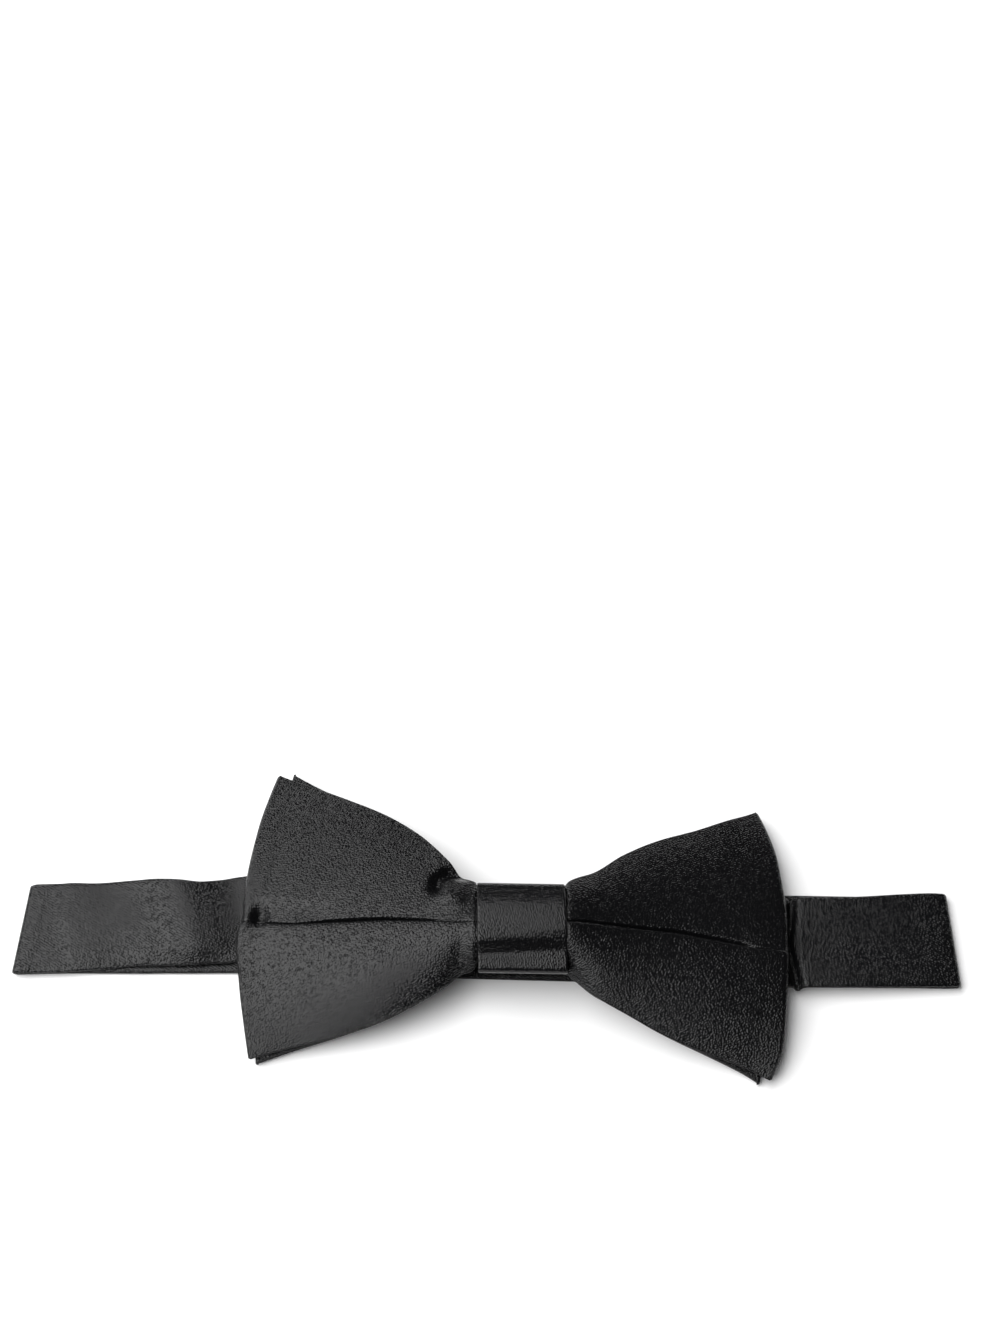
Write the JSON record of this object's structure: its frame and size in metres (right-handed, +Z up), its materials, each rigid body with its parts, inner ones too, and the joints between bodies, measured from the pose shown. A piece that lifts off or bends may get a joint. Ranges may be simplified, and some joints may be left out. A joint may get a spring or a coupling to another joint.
{
  "type": "pre-tied bow tie",
  "caption": "Pre-tied bow tie in black satin: looped front bow with a pleat, rear leaf and knot wrap on a closed neck band that lies flat.",
  "frame": {"origin": "middle of the bounding box at its underside, where the neck band lies on the surface", "axes": "+X along the neck band to the right of the picture, +Y away from the lower edge of the bow, +Z up out of the bow's front"},
  "size_m": [0.204, 0.0714, 0.0176],
  "materials": {
    "band_satin": "black polyester satin, fine diagonal weave",
    "bow_satin": "black polyester satin, fine diagonal weave",
    "knot_satin": "black polyester satin, weave turned upright",
    "clasp_metal": "black enamel, satin"
  },
  "bodies": {
    "root": {"neck_band": "band_satin", "rear_bow": "bow_satin", "front_bow": "bow_satin", "knot_wrap": "knot_satin", "band_clasp": "clasp_metal"}
  },
  "joints": []
}
